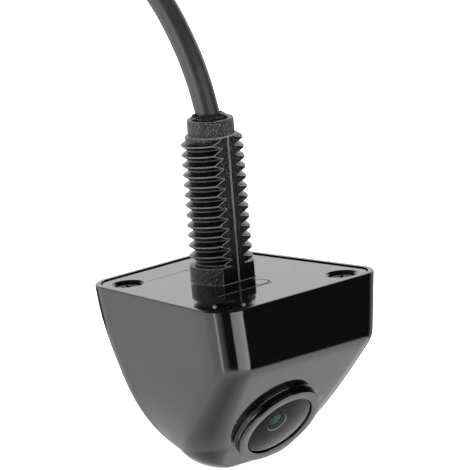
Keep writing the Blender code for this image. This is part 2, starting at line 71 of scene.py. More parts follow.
# Housing.
FRONT_Y = 14.87
REAR_Y = 13.1
HALF_WIDTH = 13.36
PLAN_TAPER = 0.856
FRONT_CORNER = 3.45
REAR_CORNER = 3.7
FRONT_CORNER_GROWTH = 0.1
REAR_CORNER_GROWTH = -0.15
FRONT_DRAFT = 0.02
SIDE_DRAFT = 0.108
SLOPE_TILT = math.radians(39.1)
SLOPE_DISTANCE = 16.52
FOLD_DEPTH = 8.0
FOLD_SOFTNESS = 0.25
CHIN_RADIUS = 1.0
BOTTOM = 22.95
SHOULDER = 9.75
SHOULDER_POWERS = (3.9, 2.06)
CHIN_WIDTH_SHARE = 0.2
WALL = 2.3
RIM = 0.75
RIM_ROUND = 0.16
LEDGE = 3.6
SCREWS = ((-9.2, -11.4), (9.2, -11.4), (-7.9, 8.65), (7.9, 8.65))
POST_R = 2.1
POST_BOTTOM = 9.0
PILOT_R = 1.1
PILOT_BOTTOM = 7.4

# Cover plate.
FIT_GAP = 0.12
PLATE_TOP = 0.15
PLATE_BOTTOM = 2.4
PLATE_EDGE = 0.06
POCKET_EDGE = 0.05
SHANK_HOLE_R = 1.2
HEAD_HOLE_R = 1.72
HEAD_SEAT = 1.3

# Stem. The thread's tooth is a wedge of the given top and steepness, rounded by two softnesses.
PITCH = 1.25
THREAD_SHIFT = 0.5
TOOTH_TOP = 1.24
TOOTH_STEEPNESS = 2.8
TOOTH_CREST_SOFTNESS = 0.0016
TOOTH_ROOT_SOFTNESS = 0.012
TOOTH_LIMIT = 1.05
RUN_OUT_LOW = 0.45
RUN_OUT_HIGH = 0.7
CREST_R = 3.83
ROOT_R = 3.17
FLAT = 3.03
COLLAR_R = 3.95
COLLAR_TOP = 2.0
COLLAR_FOOT = 0.22
THREAD_TOP = 17.95
TIP_R = 2.88
STEM_TOP = 20.05
STEM_BORE = 1.85
SEAM_R = 0.1
SEAM_SINK = 0.02
# Width of the painted highlight along the stem's sharp edges: pale colour standing in for the light they catch.
EDGE_HIGHLIGHT_RADIUS = 0.12

# Lens: distances along its axis are counted outwards from the origin.
LENS_DROP = -8.44
LENS_FACE = 17.62
BOSS_R = 5.95
BOSS_TOP = 16.97
BOSS_FLARE = 0.12
BORE_R = 5.35
GLASS_R = 4.6
OPENING_R = 1.27
LIP_R = 1.36
OPENING_LEVEL = 16.15
LIP_LEVEL = 16.2

# Cord. The coil's route is counted in degrees: each pair is where a step to another turn starts and ends.
CABLE_R = 1.5
COIL_CENTRE = (0.0, 75.0)
COIL_INNER = 13.45
COIL_OUTER = 16.55
COIL_LOW = -21.0
COIL_HIGH = -17.95
TAIL_LEVEL = -14.7
COIL_START = (-16.2, 67.5)
STEP_IN = (290, 330)
STEP_UP = (600, 640)
STEP_OUT = (935, 970)
STEP_OVER = (1222, 1280)
COIL_END = 1270
TIE_TURN = math.radians(-40)
LEAD_ROUTE = (
    (0.0, 0.05, 19.0), (0.0, 0.3, 20.2), (0.0, 0.62, 21.4), (0.0, 1.41, 24.0), (0.0, 3.36, 28.3),
    (0.0, 7.3, 33.9), (0.0, 15.0, 40.3), (0.0, 25.5, 43.8), (-0.6, 36.0, 41.6), (-2.2, 43.8, 34.3),
    (-4.2, 47.8, 23.5), (-6.0, 49.4, 11.0), (-7.8, 50.2, -1.5), (-10.0, 51.6, -12.2),
    (-12.6, 55.2, -18.9), (-14.7, 59.5, -20.8), (-15.5, 62.3, -21.0),
)
TAIL_ROUTE = (
    (15.4, 69.4, -14.7), (11.3, 63.8, -14.7), (5.2, 60.8, -14.7), (0.0, 60.8, -14.7),
    (-4.05, 61.9, -14.7), (-7.0, 64.8, -14.6), (-7.95, 67.6, -14.17), (-8.0, 69.15, -13.87),
)

# Plug.
PLUG_REAR = (-8.0, 69.5, -13.8)
PLUG_TILT = math.radians(11.0)
BOOT_RIBS = 5
BODY_GRIPS = 12
COUPLING_R = 6.4
COUPLING_RIDGES = 18
COUPLING_BAND_DROP = 0.12
COUPLING_RIDGE_DEPTH = 0.42


# ---------------------------------------------------------------- camera and light


def make_camera():
    right = Vector((math.cos(AZIMUTH), math.sin(AZIMUTH), 0))
    level = math.cos(ELEVATION)
    back = Vector((math.sin(AZIMUTH) * level, -math.cos(AZIMUTH) * level, math.sin(ELEVATION)))
    up = back.cross(right)
    side = right * math.cos(ROLL) + up * math.sin(ROLL)
    top = up * math.cos(ROLL) - right * math.sin(ROLL)
    data = bpy.data.cameras.new("view")
    data.lens = FOCAL
    data.clip_start = 0.01
    data.clip_end = 100
    camera = bpy.data.objects.new("view", data)
    bpy.context.collection.objects.link(camera)
    turn = Matrix((side, top, back)).transposed().to_4x4()
    camera.matrix_world = Matrix.Translation((AIM + back * DISTANCE) * MM) @ turn
    bpy.context.scene.camera = camera


class Nodes:
    """Short way to make nodes and link them; an input is named, or numbered as _0, _1 and so on."""

    def __init__(self, tree):
        self.tree = tree
        tree.nodes.clear()

    def add(self, kind, settings=(), **inputs):
        node = self.tree.nodes.new("ShaderNode" + kind)
        for name, value in dict(settings).items():
            setattr(node, name, value)
        for name, value in inputs.items():
            key = int(name[1:]) if name[0] == "_" else name.replace("_", " ")
            socket = node.inputs[key]
            if isinstance(value, bpy.types.NodeSocket):
                self.tree.links.new(value, socket)
            else:
                socket.default_value = value
        return node

    def math(self, operation, a, b=0.0):
        return self.add("Math", {"operation": operation}, _0=a, _1=b).outputs[0]

    def remap(self, value, start, end, low, high):
        """Value that goes from low to high while the given one goes from start to end."""
        return self.add("MapRange", _0=value, _1=start, _2=end, _3=low, _4=high).outputs[0]

    def ramp(self, factor, stops):
        node = self.add("ValToRGB", Fac=factor)
        band = node.color_ramp
        while len(band.elements) > 1:
            band.elements.remove(band.elements[-1])
        for number, (place, value) in enumerate(stops):
            stop = band.elements[0] if number == 0 else band.elements.new(place)
            stop.position = place
            stop.color = (*value, 1.0) if isinstance(value, tuple) else (value, value, value, 1.0)
        return node.outputs["Color"]


def make_world():
    """Tent of light that only reflections see, over plain white for everything else. Its walls change with
    the heading, a paler ground lies under them, and a dark lid closes it overhead."""
    world = bpy.data.worlds.new("tent")
    bpy.context.scene.world = world
    world.use_nodes = True
    n = Nodes(world.node_tree)
    way = n.add("SeparateXYZ", _0=n.add("TexCoord").outputs["Generated"]).outputs
    heading = n.math("ARCTAN2", n.math("MULTIPLY", way["Y"], -1), n.math("MULTIPLY", way["X"], -1))
    round_about = n.math("ADD", n.math("DIVIDE", heading, math.tau), 0.5)
    height = n.math("ADD", n.math("DIVIDE", n.math("ARCSINE", way["Z"]), math.pi), 0.5)

    def by_height(*stops):
        """Ramp over (degrees above the horizon, value)."""
        return n.ramp(height, [(0.5 + turn / 180, value) for turn, value in stops])

    low, high = (n.ramp(round_about, [((turn + 180) / 360, value / BRIGHTEST) for turn, value in walls])
                 for walls in (LOW_WALLS, HIGH_WALLS))
    over_horizon = by_height((-3, 0.0), (3, 1.0))
    wall = n.add("MixRGB", _0=over_horizon, Color1=low, Color2=high).outputs[0]
    above_ground = by_height((-34, 0.0), (-26, 1.0))
    lid = by_height((22, 1.0), (38, 0.03))
    ground = by_height(*[(turn, value / BRIGHTEST) for turn, value in GROUND])
    blend = n.add("MixRGB", _0=above_ground, Color1=ground, Color2=wall).outputs[0]
    tent = n.add("MixRGB", {"blend_type": "MULTIPLY"}, _0=1.0, Color1=blend, Color2=lid).outputs[0]
    seen = n.add("Background", Color=tent, Strength=BRIGHTEST).outputs[0]
    plain = n.add("Background", Color=(1, 1, 1, 1), Strength=1.0).outputs[0]
    glossy = n.add("LightPath").outputs["Is Glossy Ray"]
    mixed = n.add("MixShader", _0=glossy, _1=plain, _2=seen).outputs[0]
    n.add("OutputWorld", Surface=mixed)


def make_floor_and_lamp():
    """Pale floor under the housing's lowest point, and one wide lamp over it."""
    shape = bmesh.new()
    bmesh.ops.create_grid(shape, x_segments=1, y_segments=1, size=FLOOR_HALF_SIZE)
    floor = piece("floor", shape, lit_paper(), stage=True)
    floor.location.z = -BOTTOM * MM
    floor.visible_glossy = False
    data = bpy.data.lights.new("wide_lamp", "AREA")
    data.size = LAMP_SIZE
    data.energy = LAMP_WATTS
    lamp = bpy.data.objects.new("wide_lamp", data)
    bpy.context.collection.objects.link(lamp)
    lamp.location = (0, 0, LAMP_HEIGHT)
    lamp.visible_glossy = False
    bpy.context.scene.view_settings.view_transform = "Standard"


# ---------------------------------------------------------------- materials


def new_look(name):
    made = bpy.data.materials.new(name)
    made.use_nodes = True
    n = Nodes(made.node_tree)
    return made, n, n.add("TexCoord").outputs["Object"]


def surface_look(name, colour, roughness, grain=0.3, bump=0.02, spread=0.2, metallic=0.0, ior=1.5,
                 waves=None):
    """Moulded or cast surface. grain is the size of its finest marks in millimetres, bump their height,
    spread how much colour and gloss vary, and waves the size of a slow unevenness under them."""
    made, n, place = new_look(name)
    fine = n.add("TexNoise", Vector=place, Scale=1 / (grain * MM), Detail=4.0, Roughness=0.6).outputs[0]
    broad = n.add("TexNoise", Vector=place, Scale=1 / ((waves or 6.0) * MM), Detail=2.0).outputs[0]
    dark = tuple(c * (1 - spread) for c in colour)
    light = tuple(min(1.0, c * (1 + spread)) for c in colour)
    mixed = n.math("ADD", n.math("MULTIPLY", fine, 0.6), n.math("MULTIPLY", broad, 0.4))
    tint = n.ramp(mixed, [(0.35, dark), (0.65, light)])
    low, high = roughness * (1 - 0.6 * spread), min(1.0, roughness * (1 + 0.6 * spread))
    gloss = n.remap(mixed, 0.35, 0.65, low, high)
    relief = n.math("ADD", fine, n.math("MULTIPLY", broad, 0.5 if waves else 0.0))
    raised = n.add("Bump", Strength=1.0, Distance=bump * MM, Height=relief).outputs[0]
    shader = n.add("BsdfPrincipled", Base_Color=tint, Roughness=gloss, Metallic=metallic, IOR=ior,
                   Normal=raised)
    n.add("OutputMaterial", Surface=shader.outputs[0])
    return made


def speckled_look(name, colour, highlight_colour, roughness, grain, bump, ior, glint_levels):
    """Surface with small pits that each catch the light in their own way. Its edges are painted pale as painted
    highlights, and some pits are painted pale as painted glints; the last argument gives how strong those
    glints are at the stem's foot and at its tip."""
    made, n, place = new_look(name)
    cells = n.add("TexVoronoi", Vector=place, Scale=1 / (grain * MM), Randomness=1.0)
    fine = n.add("TexNoise", Vector=place, Scale=1.6 / (grain * MM), Detail=3.0, Roughness=0.7).outputs[0]
    relief = n.math("ADD", n.math("MULTIPLY", cells.outputs["Distance"], 0.8), fine)
    tint = n.ramp(fine, [(0.3, tuple(c * 0.5 for c in colour)), (0.7, tuple(c * 1.5 for c in colour))])
    gloss = n.remap(fine, 0.3, 0.7, roughness * 0.6, roughness * 1.4)
    round_edge = n.add("Bevel", {"samples": 8}, Radius=EDGE_HIGHLIGHT_RADIUS * MM).outputs[0]
    flat = n.add("NewGeometry").outputs["Normal"]
    likeness = n.add("VectorMath", {"operation": "DOT_PRODUCT"}, _0=round_edge, _1=flat).outputs["Value"]
    # Painted highlight: pale colour along the rounded-off edges, standing in for the light they catch.
    painted_edge_highlight = n.remap(likeness, 0.99, 0.9, 0.0, 1.0)
    height = n.add("SeparateXYZ", _0=place).outputs["Z"]
    # Painted glints: pale colour in some pits, set stronger higher up, so the stem is painted lighter towards
    # its tip.
    glint_level = n.remap(height, 0.0, STEM_TOP * MM, *glint_levels)
    painted_glint = n.math("MULTIPLY", n.remap(fine, 0.56, 0.68, 0.0, 1.0), glint_level)
    painted_highlight = n.math("MAXIMUM", painted_edge_highlight, painted_glint)
    mixed = n.add("MixRGB", _0=painted_highlight, Color1=tint, Color2=(*highlight_colour, 1)).outputs[0]
    raised = n.add("Bump", Strength=1.0, Distance=bump * MM, Height=relief, Normal=flat).outputs[0]
    shader = n.add("BsdfPrincipled", Base_Color=mixed, Roughness=gloss, IOR=ior, Normal=raised)
    n.add("OutputMaterial", Surface=shader.outputs[0])
    return made


def glass_look(name, tint, ior):
    """Clear element, its gloss broken by the faintest haze. A low index stands in for a coating."""
    made, n, place = new_look(name)
    haze = n.add("TexNoise", Vector=place, Scale=1 / (0.8 * MM), Detail=3.0).outputs[0]
    gloss = n.remap(haze, 0.4, 0.8, 0.0, 0.03)
    colour = n.ramp(haze, [(0.3, tuple(c * 0.97 for c in tint)), (0.7, tint)])
    shader = n.add("BsdfPrincipled", Base_Color=colour, Roughness=gloss, IOR=ior)
    shader.inputs["Transmission Weight"].default_value = 1.0
    n.add("OutputMaterial", Surface=shader.outputs[0])
    return made


def lit_paper():
    """White sweep lit from below, as in a light tent, so that nothing throws a shadow on it."""
    made = bpy.data.materials.new("floor_white")
    made.use_nodes = True
    shader = made.node_tree.nodes["Principled BSDF"]
    shader.inputs["Base Color"].default_value = (0.9, 0.9, 0.9, 1)
    shader.inputs["Roughness"].default_value = 0.9
    shader.inputs["Emission Color"].default_value = (1, 1, 1, 1)
    shader.inputs["Emission Strength"].default_value = 1.0
    return made


def make_looks():
    # The pale colour is that of the stem's painted highlights and painted glints.
    ink, painted_highlight = (0.003, 0.003, 0.003), (0.4, 0.4, 0.4)
    return {
        "gloss": surface_look("gloss_black", (0.0028, 0.0028, 0.003), 0.08, 0.35, 0.0004, 0.15, ior=1.72,
                              waves=5.0),
        # The last pair of each stem look sets its painted glints at the foot and the tip; where it rises, the
        # surface is painted lighter towards the top.
        "blasted": speckled_look("blasted_black", ink, painted_highlight, 0.13, 0.3, 0.12, 1.6, (0.3, 0.45)),
        "flat": speckled_look("flat_black", ink, painted_highlight, 0.1, 0.3, 0.02, 1.6, (0.0, 0.3)),
        "thread": speckled_look("thread_black", (0.001, 0.001, 0.001), (0.5, 0.5, 0.5), 0.14, 0.35, 0.03, 1.45,
                                (0.04, 0.04)),
        "barrel": surface_look("barrel_black", (0.004, 0.004, 0.0045), 0.14, 0.25, 0.001, 0.2, ior=1.72),
        "hood": surface_look("hood_black", (0.003, 0.003, 0.004), 0.5, 0.2, 0.004, 0.3, ior=1.25),
        "paint": surface_look("lens_paint", (0.002, 0.002, 0.003), 0.6, 2.0, 0.0005, 0.1, ior=1.1),
        "cable": surface_look("cable_black", (0.022, 0.022, 0.023), 0.3, 0.22, 0.006, 0.3, ior=1.7,
                              waves=3.0),
        # Pale grey that paints a highlight on the mould's ridges: the seam up the stem and the ridge on the
        # plate.
        "seam": surface_look("seam_painted_highlight", (0.09, 0.09, 0.09), 0.3, 0.25, 0.004, 0.4),
        "sealant": surface_look("potting_black", (0.012, 0.012, 0.012), 0.12, 0.5, 0.05, 0.3, waves=1.2),
        "rubber": surface_look("rubber_black", (0.016, 0.016, 0.016), 0.6, 0.25, 0.01, 0.3),
        "plastic": surface_look("plastic_black", (0.018, 0.018, 0.018), 0.38, 0.2, 0.008, 0.25),
        "screw": surface_look("screw_black", (0.05, 0.05, 0.052), 0.28, 0.2, 0.004, 0.3, metallic=1.0),
        "tie": surface_look("tie_black", (0.02, 0.02, 0.02), 0.35, 0.3, 0.004, 0.25),
        "glass": glass_look("front_glass_clear", (0.98, 1.0, 0.98), 1.21),
        "bloomed": glass_look("front_glass_inside", (0.9, 1.0, 0.92), 1.02),
        "coated": surface_look("coated_green", (0.013, 0.042, 0.015), 0.12, 0.7, 0.001, 0.4, metallic=1.0),
        "lip": surface_look("lens_lip", (0.16, 0.17, 0.16), 0.3, 0.3, 0.001, 0.5, metallic=1.0),
        "optic": glass_look("optic_clear", (0.9, 0.95, 0.92), 1.6),
        "filter": glass_look("filter_blue", (0.45, 0.75, 0.8), 1.5),
        "die": surface_look("sensor_die", (0.10, 0.11, 0.2), 0.12, 0.1, 0.001, 0.4, metallic=0.5),
        "board": surface_look("board_green", (0.02, 0.14, 0.06), 0.35, 0.4, 0.01, 0.35),
        "ferrite": surface_look("ferrite_grey", (0.09, 0.09, 0.09), 0.6, 0.12, 0.01, 0.3),
        "cream": surface_look("nylon_cream", (0.7, 0.67, 0.58), 0.45, 0.3, 0.005, 0.1),
        "insert": surface_look("insert_grey", (0.05, 0.05, 0.055), 0.5, 0.2, 0.008, 0.25),
        "brass": surface_look("contact_gold", (0.8, 0.6, 0.24), 0.22, 0.15, 0.003, 0.15, metallic=1.0),
        "seal": surface_look("seal_red", (0.45, 0.05, 0.03), 0.5, 0.3, 0.008, 0.2),
        "red": surface_look("wire_red", (0.5, 0.02, 0.015), 0.4, 0.2, 0.004, 0.15),
        "black": surface_look("wire_black", (0.015, 0.015, 0.015), 0.4, 0.2, 0.004, 0.2),
        "yellow": surface_look("wire_yellow", (0.7, 0.5, 0.03), 0.4, 0.2, 0.004, 0.15),
        "green": surface_look("wire_green", (0.03, 0.32, 0.08), 0.4, 0.2, 0.004, 0.15),
    }


# ---------------------------------------------------------------- mesh tools


def weld(shape):
    bmesh.ops.remove_doubles(shape, verts=shape.verts, dist=1e-5)
    bmesh.ops.recalc_face_normals(shape, faces=shape.faces)


def piece(name, shape, look, stands_for=(), body="camera", at_frame=None, stage=False,
          sharp=32):
    """Object in metres from a bmesh in millimetres, set on its CAD body. look is one material or a list,
    and sharp is the angle in degrees from which an edge is drawn as one."""
    weld(shape)
    shape.transform(at_frame or Matrix.Identity(4))
    shape.transform(Matrix.Scale(MM, 4))
    mesh = bpy.data.meshes.new(name)
    shape.to_mesh(mesh)
    shape.free()
    for one in look if isinstance(look, list) else [look]:
        mesh.materials.append(one)
    made = bpy.data.objects.new(name, mesh)
    bpy.context.collection.objects.link(made)
    mesh.shade_smooth()
    mesh.set_sharp_from_angle(angle=math.radians(sharp))
    if stage:
        return made
    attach(made, body)
    if stands_for:
        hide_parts(*stands_for)
    return made


def ring_loft(rings):
    """Closed skin through rings of points, which all have the same count."""
    shape = bmesh.new()
    rows = [[shape.verts.new(point) for point in ring] for ring in rings]
    for low, high in zip(rows, rows[1:]):
        for i in range(len(low)):
            j = (i + 1) % len(low)
            shape.faces.new((low[i], low[j], high[j], high[i]))
    shape.faces.new(rows[0])
    shape.faces.new(rows[-1])
    return shape


def turned(profile, sides=96):
    """Skin of revolution about local Z through (radius, height) points, closed by itself or by the axis."""
    shape = bmesh.new()
    rows = []
    for radius, height in profile:
        if radius < 1e-6:
            rows.append([shape.verts.new((0, 0, height))] * sides)
            continue
        turns = [math.tau * i / sides for i in range(sides)]
        rows.append([shape.verts.new((radius * math.cos(t), radius * math.sin(t), height)) for t in turns])
    on_axis = profile[0][0] < 1e-6
    pairs = zip(rows, rows[1:] if on_axis else rows[1:] + rows[:1])
    for low, high in pairs:
        for i in range(sides):
            j = (i + 1) % sides
            corners = list(dict.fromkeys((low[i], low[j], high[j], high[i])))
            if len(corners) > 2:
                shape.faces.new(corners)
    return shape


def eased(profile, radius, steps=3):
    """Profile with its corners rounded off, so that its edges catch the light."""
    out = []
    for i, point in enumerate(profile):
        if point[0] < 1e-6:
            out.append(point)
            continue
        here = Vector(point)
        before = Vector(profile[i - 1]) - here
        after = Vector(profile[(i + 1) % len(profile)]) - here
        cut = min(radius, 0.45 * before.length, 0.45 * after.length)
        start = here + before.normalized() * cut
        end = here + after.normalized() * cut
        for k in range(steps + 1):
            t = k / steps
            out.append(tuple(start.lerp(here, t).lerp(here.lerp(end, t), t)))
    return out


def block(low, high, at_frame=None, bevel=0.0):
    """Box from its low corner to its high one."""
    shape = bmesh.new()
    bmesh.ops.create_cube(shape, size=1.0)
    for vert in shape.verts:
        vert.co = Vector(low[k] if vert.co[k] < 0 else high[k] for k in range(3))
    if bevel:
        bmesh.ops.bevel(shape, geom=shape.edges, offset=bevel, segments=3, affect="EDGES", profile=0.5)
    if at_frame is not None:
        shape.transform(at_frame)
    return shape


def together(*shapes):
    """One bmesh that holds them all."""
    whole = bmesh.new()
    for shape in shapes:
        mesh = bpy.data.meshes.new("part")
        shape.to_mesh(mesh)
        shape.free()
        whole.from_mesh(mesh)
        bpy.data.meshes.remove(mesh)
    return whole


def loose(shape):
    """Passing object for a boolean step."""
    weld(shape)
    mesh = bpy.data.meshes.new("tool")
    shape.to_mesh(mesh)
    shape.free()
    made = bpy.data.objects.new("tool", mesh)
    bpy.context.collection.objects.link(made)
    return made


def carve(base, *steps):
    """Bmesh of base after each (operation, tool) in turn, all in millimetres."""
    target = loose(base)
    for operation, tool in steps:
        cutter = loose(tool)
        step = target.modifiers.new("carve", "BOOLEAN")
        step.operation = operation
        step.solver = "EXACT"
        step.object = cutter
        bpy.context.view_layer.update()
        graph = bpy.context.evaluated_depsgraph_get()
        result = bpy.data.meshes.new_from_object(target.evaluated_get(graph))
        target.modifiers.clear()
        target.data = result
        bpy.data.objects.remove(cutter)
    shape = bmesh.new()
    shape.from_mesh(target.data)
    bpy.data.objects.remove(target)
    return shape


def moved(shape, x, y):
    shape.transform(Matrix.Translation((x, y, 0)))
    return shape


def placed(origin, x_axis, y_axis, z_axis):
    turn = Matrix((x_axis, y_axis, z_axis)).transposed().to_4x4()
    return Matrix.Translation(Vector(origin)) @ turn


def lens_frame():
    """Local Z along the optical axis, outwards; local Y up along the slope."""
    out = Vector((0, -math.cos(SLOPE_TILT), -math.sin(SLOPE_TILT)))
    up = Vector((0, -math.sin(SLOPE_TILT), math.cos(SLOPE_TILT)))
    return placed(up * LENS_DROP, Vector((1, 0, 0)), up, out)


def plug_frame():
    """Local Z runs along the plug, from the cable towards its mouth."""
    across = Vector((-1, 0, 0))
    along = Vector((0, math.cos(PLUG_TILT), math.sin(PLUG_TILT)))
    return placed(PLUG_REAR, across, along.cross(across), along)


# ---------------------------------------------------------------- housing


def soft_max(a, b, width):
    """The larger of two, with their crossing rounded off."""
    top = max(a, b)
    return top + width * math.log(math.exp((a - top) / width) + math.exp((b - top) / width))


def chin_centre():
    """Centre (y, depth) of the round under the slope's lower edge."""
    depth = BOTTOM - CHIN_RADIUS
    inside = SLOPE_DISTANCE - CHIN_RADIUS - depth * math.sin(SLOPE_TILT)
    return -inside / math.cos(SLOPE_TILT), depth


def rear_arch():
    """Centre (y, depth) and radius of the arc that leaves the rim upright and meets the chin's round."""
    chin_y, chin_depth = chin_centre()
    reach = REAR_Y - chin_y
    radius = (reach**2 + chin_depth**2 - CHIN_RADIUS**2) / (2 * (reach - CHIN_RADIUS))
    return REAR_Y - radius, radius


def front_y(depth):
    chin_y, chin_depth = chin_centre()
    if depth > chin_depth + CHIN_RADIUS * math.sin(SLOPE_TILT):
        return chin_y - math.sqrt(max(0.0, CHIN_RADIUS**2 - (depth - chin_depth) ** 2))
    upright = -FRONT_Y + FRONT_DRAFT * depth
    slope = -(SLOPE_DISTANCE - depth * math.sin(SLOPE_TILT)) / math.cos(SLOPE_TILT)
    return soft_max(upright, slope, FOLD_SOFTNESS)


def rear_y(depth):
    chin_y, chin_depth = chin_centre()
    arch_y, radius = rear_arch()
    touch = chin_depth + CHIN_RADIUS * chin_depth / (radius - CHIN_RADIUS)
    if depth > touch:
        return chin_y + math.sqrt(max(0.0, CHIN_RADIUS**2 - (depth - chin_depth) ** 2))
    return arch_y + math.sqrt(radius**2 - depth**2)


def half_width(depth):
    past = max(0.0, (depth - SHOULDER) / (BOTTOM - SHOULDER))
    round_in = max(0.0, 1 - past ** SHOULDER_POWERS[0]) ** (1 / SHOULDER_POWERS[1])
    return (HALF_WIDTH - SIDE_DRAFT * depth) * (CHIN_WIDTH_SHARE + (1 - CHIN_WIDTH_SHARE) * round_in)


def corner_radius(depth, end):
    """Radius of the plan's corners, which changes below the shoulder; end is -1 in front and 1 behind."""
    below = max(0.0, depth - SHOULDER)
    if end < 0:
        return FRONT_CORNER + FRONT_CORNER_GROWTH * below
    return REAR_CORNER + REAR_CORNER_GROWTH * below


def section(depth, inset=0.0, steps=14, straight=8, lift=0.0):
    """Outline of the housing at a depth below the rim, pulled in by inset: a trapezoid with round corners,
    steps points round each and straight points along each side."""
    front = front_y(depth) + inset
    rear = rear_y(depth) - inset
    middle = (front + rear) / 2
    corners = []
    for side, end, start in ((-1, -1, 180), (1, -1, 270), (1, 1, 0), (-1, 1, 90)):
        wide = half_width(depth) * (1.0 if end < 0 else PLAN_TAPER) - inset
        edge = front if end < 0 else rear
        corner = max(0.05, corner_radius(depth, end) - inset)
        corner = min(corner, 0.97 * abs(edge - middle), 0.97 * wide)
        arc = []
        for k in range(steps + 1):
            turn = math.radians(start + 90 * k / steps)
            arc.append(Vector((side * (wide - corner) + corner * math.cos(turn),
                               edge - end * corner + corner * math.sin(turn), lift - depth)))
        corners.append(arc)
    ring = []
    for arc, after in zip(corners, corners[1:] + corners[:1]):
        ring += arc
        ring += [arc[-1].lerp(after[0], k / straight) for k in range(1, straight)]
    return ring


def skin_depths():
    """Depths of the housing's sections: even, closer at the fold, closer again round the chin."""
    chin_start, chin_end = 20.5, BOTTOM - 0.02
    fold = [FOLD_DEPTH + 0.08 * k for k in range(-14, 15)]
    upper = [RIM_ROUND + (fold[0] - RIM_ROUND) * k / 14 for k in range(1, 14)]
    lower = [fold[-1] + (chin_start - fold[-1]) * k / 34 for k in range(1, 34)]
    chin = [chin_start + (chin_end - chin_start) * math.sin(0.5 * math.pi * k / 26) for k in range(27)]
    return upper + fold + lower + chin


def rounded_edge(start, inset, radius, steps):
    """Sections over an outer edge that is rounded off, from its top at depth start down to its full size."""
    turns = [0.5 * math.pi * k / steps for k in range(steps + 1)]
    return [section(start + radius * (1 - math.cos(t)), inset + radius * (1 - math.sin(t))) for t in turns]


def housing_body():
    rings = rounded_edge(0.0, 0.0, RIM_ROUND, 4) + [section(depth) for depth in skin_depths()]
    return ring_loft(rings)


def pocket():
    """Recess that holds the cover plate, its upper edge eased."""
    mouth = RIM - POCKET_EDGE
    rings = [section(0.0, mouth, lift=1.0), section(0.0, mouth)]
    rings += [section(POCKET_EDGE * k / 3, RIM - POCKET_EDGE * math.sqrt(k / 3)) for k in (1, 2, 3)]
    rings.append(section(LEDGE, RIM))
    return ring_loft(rings)


def lens_boss():
    """Ring that stands out of the slope round the lens, with a flared foot and an eased rim."""
    root = SLOPE_DISTANCE - WALL / 2
    top = BOSS_TOP + 0.08
    foot = [(BOSS_R + BOSS_FLARE * (1 - math.sin(t)), SLOPE_DISTANCE - 0.01 + BOSS_FLARE * (1 - math.cos(t)))
            for t in (math.radians(a) for a in range(0, 91, 15))]
    rim = eased(((BOSS_R, top), (5.2, top)), 0.12)[1:]
    return turned([(0, root), (BOSS_R + BOSS_FLARE, root), *foot, *rim, (0, top)], 160)


def rod(radius, low, high, sides=96):
    """Round bar about local Z, to add or to cut with."""
    return turned(((0, low), (radius, low), (radius, high), (0, high)), sides)


def at_screws(radius, low, high):
    """One rod at each screw's place."""
    return [moved(rod(radius, low, high, 24), x, y) for x, y in SCREWS]


def make_housing(looks):
    lens = lens_frame()
    boss = lens_boss()
    boss.transform(lens)
    inside = [section(depth, WALL + 0.3, 3, 2) for depth in (LEDGE - 0.2, 8.0, 12.0, 15.5, 18.2)]
    posts = at_screws(POST_R, -POST_BOTTOM, 0)
    cavity = carve(ring_loft(inside), *[("DIFFERENCE", post) for post in posts])
    bore = rod(BORE_R, 9.0, LENS_FACE + 2)
    bore.transform(lens)
    pilots = together(*at_screws(PILOT_R, -PILOT_BOTTOM, 1 - LEDGE))
    shape = carve(housing_body(), ("UNION", boss), ("DIFFERENCE", pocket()), ("DIFFERENCE", cavity),
                  ("DIFFERENCE", bore), ("DIFFERENCE", pilots))
    piece("housing_skin", shape, looks["gloss"], ("housing",))


# ---------------------------------------------------------------- cover plate and stem


def thread_radius(height, turn):
    """Rounded thread, its crest running up anticlockwise; it fades out at the collar and under the tip."""
    off = ((height + THREAD_SHIFT) / PITCH - turn / math.tau) % 1.0 - 0.5
    flank = TOOTH_TOP - TOOTH_STEEPNESS * math.sqrt(off * off + TOOTH_CREST_SOFTNESS)
    tooth = 0.5 * (flank + math.sqrt(flank * flank + TOOTH_ROOT_SOFTNESS))
    from_ends = min((height - COLLAR_TOP) / RUN_OUT_LOW, (THREAD_TOP - height) / RUN_OUT_HIGH)
    run_out = max(0.0, min(1.0, from_ends))
    rise = min(TOOTH_LIMIT, tooth) * math.sin(0.5 * math.pi * run_out)
    return ROOT_R + (CREST_R - ROOT_R) * rise


def stem_column(turn, per_pitch):
    """Points up one side of the stem, from inside the plate to its tip and down its bore; on the thread they
    climb with its helix."""
    wide = COLLAR_R + COLLAR_FOOT
    path = [(STEM_BORE, -PLATE_BOTTOM - 0.2), (wide, -PLATE_TOP - 0.4), (wide, -PLATE_TOP)]
    path += [(wide - COLLAR_FOOT * math.sin(t), -PLATE_TOP + COLLAR_FOOT * (1 - math.cos(t)))
             for t in (math.radians(a) for a in (30, 60, 90))]
    path += [(COLLAR_R, COLLAR_TOP - 0.12), (COLLAR_R - 0.04, COLLAR_TOP - 0.04),
             (COLLAR_R - 0.12, COLLAR_TOP)]
    for row in range(int((THREAD_TOP - COLLAR_TOP) / PITCH + 2) * per_pitch + 1):
        height = COLLAR_TOP + PITCH * (row / per_pitch - 1 + turn / math.tau)
        height = min(THREAD_TOP, max(COLLAR_TOP, height))
        path.append((thread_radius(height, turn), height))
    path += [(TIP_R, THREAD_TOP + 0.02), (TIP_R, STEM_TOP - 0.3), (TIP_R - 0.09, STEM_TOP - 0.09),
             (TIP_R - 0.3, STEM_TOP), (STEM_BORE + 0.2, STEM_TOP), (STEM_BORE, STEM_TOP - 0.2)]
    return [(r * math.cos(turn), r * math.sin(turn), z) for r, z in path]


def stem_shape(sides=120, per_pitch=22):
    """Skin of the stem; its first and last columns meet once the points are merged."""
    shape = bmesh.new()
    columns = [[shape.verts.new(point) for point in stem_column(math.tau * i / sides, per_pitch)]
               for i in range(sides + 1)]
    for left, right in zip(columns, columns[1:]):
        count = len(left)
        for low in range(count):
            high = (low + 1) % count
            shape.faces.new((left[low], right[low], right[high], left[high]))
    return shape


